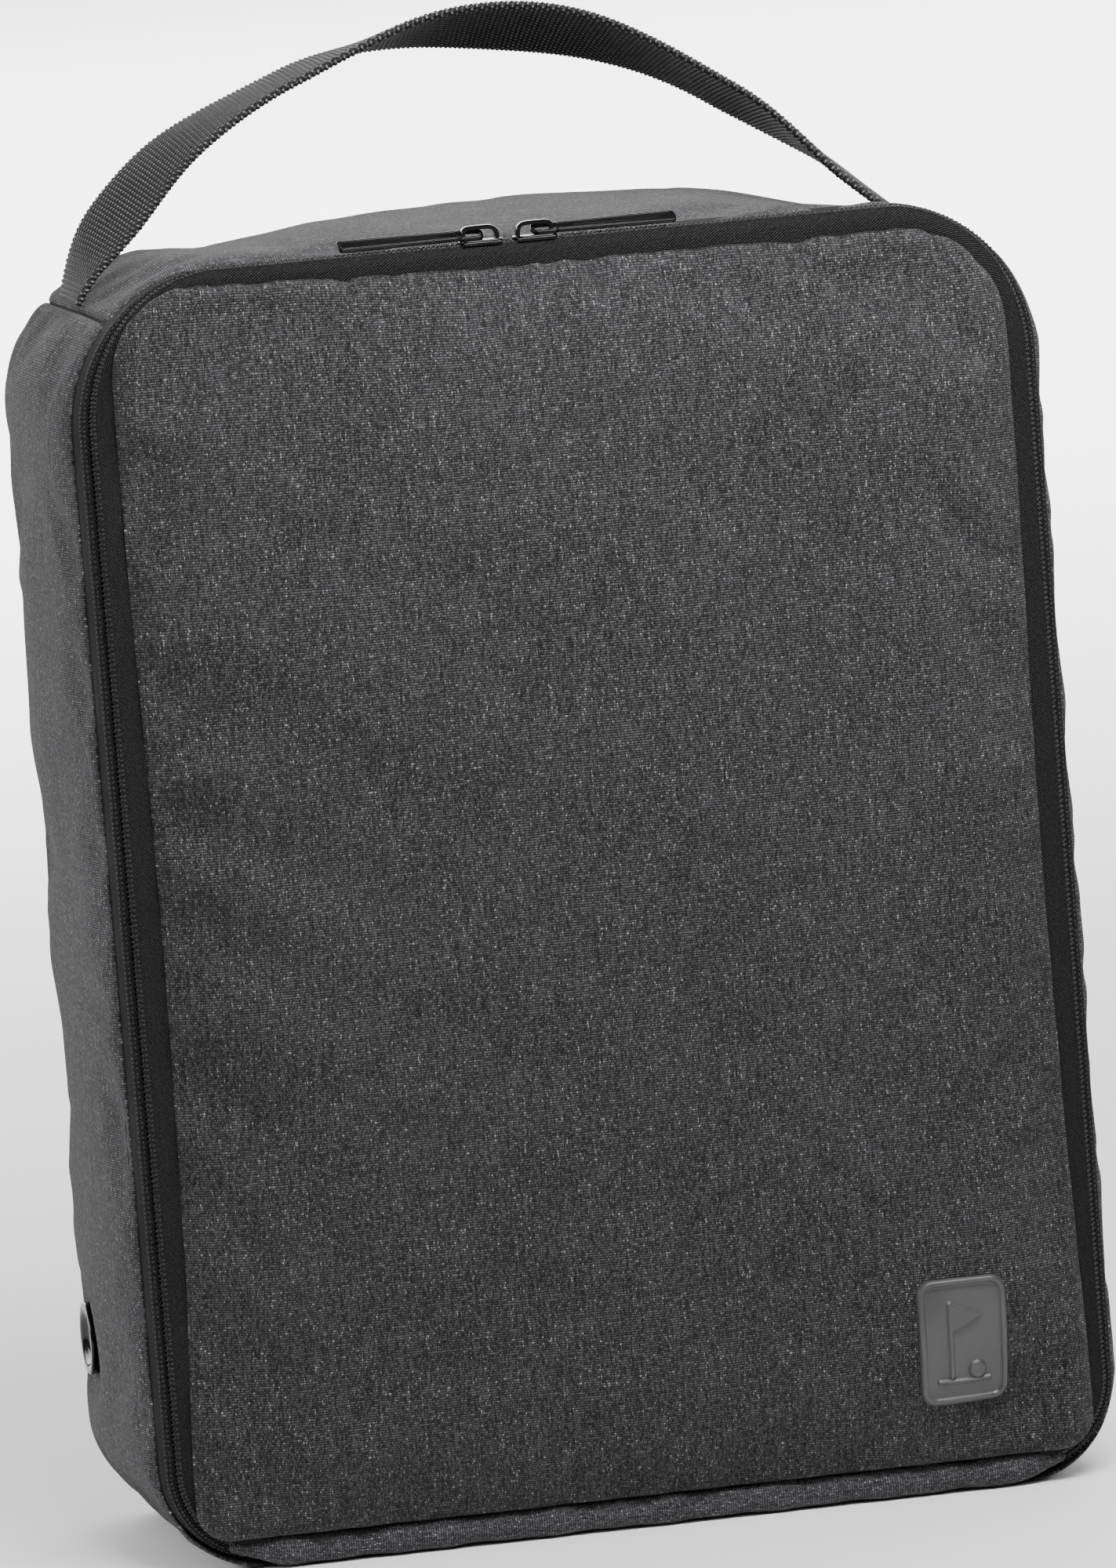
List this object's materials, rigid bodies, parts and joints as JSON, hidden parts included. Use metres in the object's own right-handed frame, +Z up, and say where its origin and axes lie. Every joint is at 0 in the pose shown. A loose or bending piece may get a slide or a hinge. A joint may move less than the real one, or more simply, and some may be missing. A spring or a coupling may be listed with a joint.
{
  "type": "golf shoe bag",
  "caption": "Upright padded shoe bag in charcoal cloth: the whole front unzips round three sides and folds down on its lower seam, with a webbing carrying handle on top.",
  "frame": {"origin": "on the floor under the middle of the bag: middle of the width, on the flat underside", "axes": "+X to the bag's right seen from the front, +Y from the front flap to the back panel, +Z up towards the handle"},
  "size_m": [0.2712, 0.1299, 0.4117],
  "materials": {
    "gusset_cloth": "charcoal heather polyester, fine rib weave, matt",
    "front_cloth": "charcoal heather polyester, fine rib weave, matt, a little darker",
    "webbing": "black polyester webbing, coarse weave",
    "zipper_tape": "black twill zipper tape",
    "zipper_coil": "black nylon coil, semi-matt",
    "black_metal": "gloss black enamelled die-cast metal",
    "badge_rubber": "satin grey moulded rubber",
    "foam": "off-white padding",
    "lining": "dark grey smooth lining",
    "binding": "black woven binding tape",
    "board": "black stiffener board"
  },
  "bodies": {
    "shell": {"side_panel_left": "gusset_cloth", "side_panel_right": "gusset_cloth", "top_panel": "gusset_cloth", "floor_panel": "gusset_cloth", "front_welt": "gusset_cloth", "back_panel": "gusset_cloth", "handle_end_left": "webbing", "handle_end_right": "webbing", "zipper_tape_outer": "zipper_tape", "zipper_coil_outer": "zipper_coil", "eyelet_left": "black_metal", "eyelet_right": "black_metal", "eyelet_washer_left": "black_metal", "eyelet_washer_right": "black_metal", "side_foam_left": "foam", "side_foam_right": "foam", "top_foam": "foam", "floor_foam": "foam", "back_foam": "foam", "side_lining_left": "lining", "side_lining_right": "lining", "top_lining": "lining", "floor_lining": "lining", "back_lining": "lining", "rear_seam_binding": "binding", "mouth_seam_binding": "binding", "base_board": "board"},
    "front_flap": {"front_panel": "front_cloth", "front_foam": "foam", "front_lining": "lining", "flap_seam_binding": "binding", "zipper_tape_inner": "zipper_tape", "zipper_coil_inner": "zipper_coil", "badge": "badge_rubber"},
    "slider_left": {"slider_left": "black_metal"},
    "slider_right": {"slider_right": "black_metal"},
    "pull_left": {"pull_left": "black_metal"},
    "pull_right": {"pull_right": "black_metal"},
    "handle": {"handle": "webbing"}
  },
  "joints": [
    {"name": "front_flap_open", "type": "hinge", "parent": "shell", "child": "front_flap", "pos_m": [0, -0.05955, 0.0093], "axis": [1, 0, 0], "range_deg": [0, 90]},
    {"name": "slider_left_run", "type": "slide", "parent": "shell", "child": "slider_left", "axis": [-1, 0, 0], "range_m": [0, 0.065]},
    {"name": "slider_right_run", "type": "slide", "parent": "shell", "child": "slider_right", "axis": [1, 0, 0], "range_m": [0, 0.08]},
    {"name": "pull_left_swing", "type": "hinge", "parent": "slider_left", "child": "pull_left", "pos_m": [-0.0187, -0.053, 0.3521], "axis": [0, 1, 0], "range_deg": [0, 95]},
    {"name": "pull_right_swing", "type": "hinge", "parent": "slider_right", "child": "pull_right", "pos_m": [-0.0039, -0.053, 0.3521], "axis": [0, -1, 0], "range_deg": [0, 95]},
    {"name": "handle_swing", "type": "hinge", "parent": "shell", "child": "handle", "pos_m": [0, 0.002, 0.361], "axis": [1, 0, 0], "range_deg": [-45, 45]}
  ]
}
